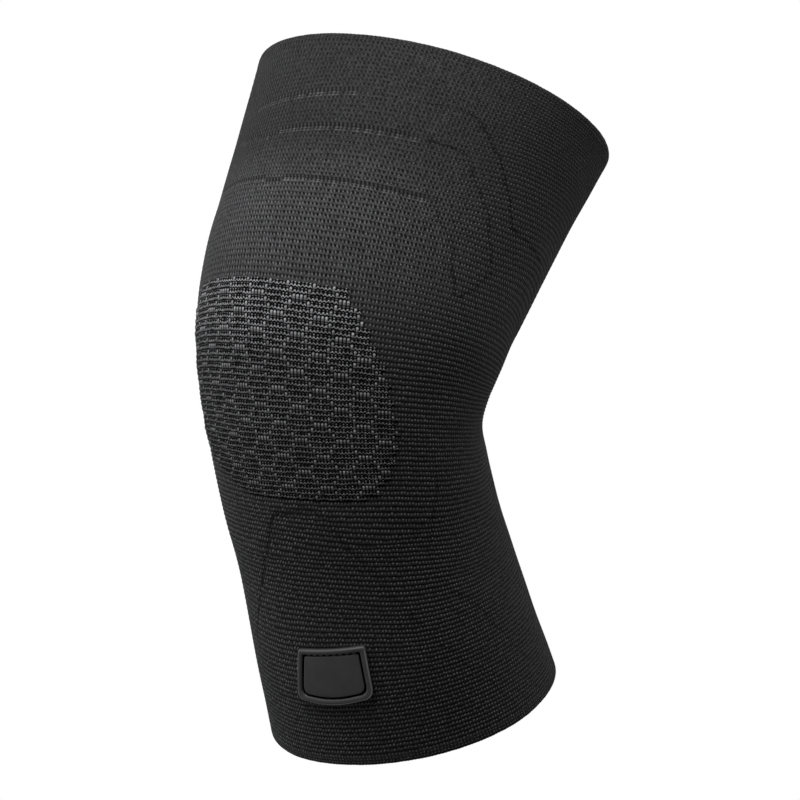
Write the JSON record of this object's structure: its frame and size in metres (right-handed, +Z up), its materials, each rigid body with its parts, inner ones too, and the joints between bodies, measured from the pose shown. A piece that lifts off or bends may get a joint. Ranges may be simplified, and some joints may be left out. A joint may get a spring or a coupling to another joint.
{
  "type": "knitted knee brace",
  "caption": "Charcoal knitted compression sleeve for a slightly bent left knee, open at both ends, with a raised patterned panel over the kneecap and a small moulded badge on the shin.",
  "frame": {"origin": "centre of the knee, on the sleeve's centre line where the bend is centred", "axes": "+Z up the leg, -Y to the front where the kneecap is, +X to the wearer's left, the outer side of the left knee"},
  "size_m": [0.1441, 0.1734, 0.2814],
  "materials": {
    "sleeve_knit": "matt ribbed elastic knit, heather charcoal",
    "welt_knit": "matt turned knit edge, charcoal",
    "panel_knit": "matt raised patterned knit, lighter charcoal with bright float stitches",
    "badge_rubber": "satin moulded rubber, dark grey"
  },
  "bodies": {
    "root": {"sleeve_body": "sleeve_knit", "top_welt": "welt_knit", "bottom_welt": "welt_knit", "knee_panel": "panel_knit", "badge": "badge_rubber"}
  },
  "joints": []
}
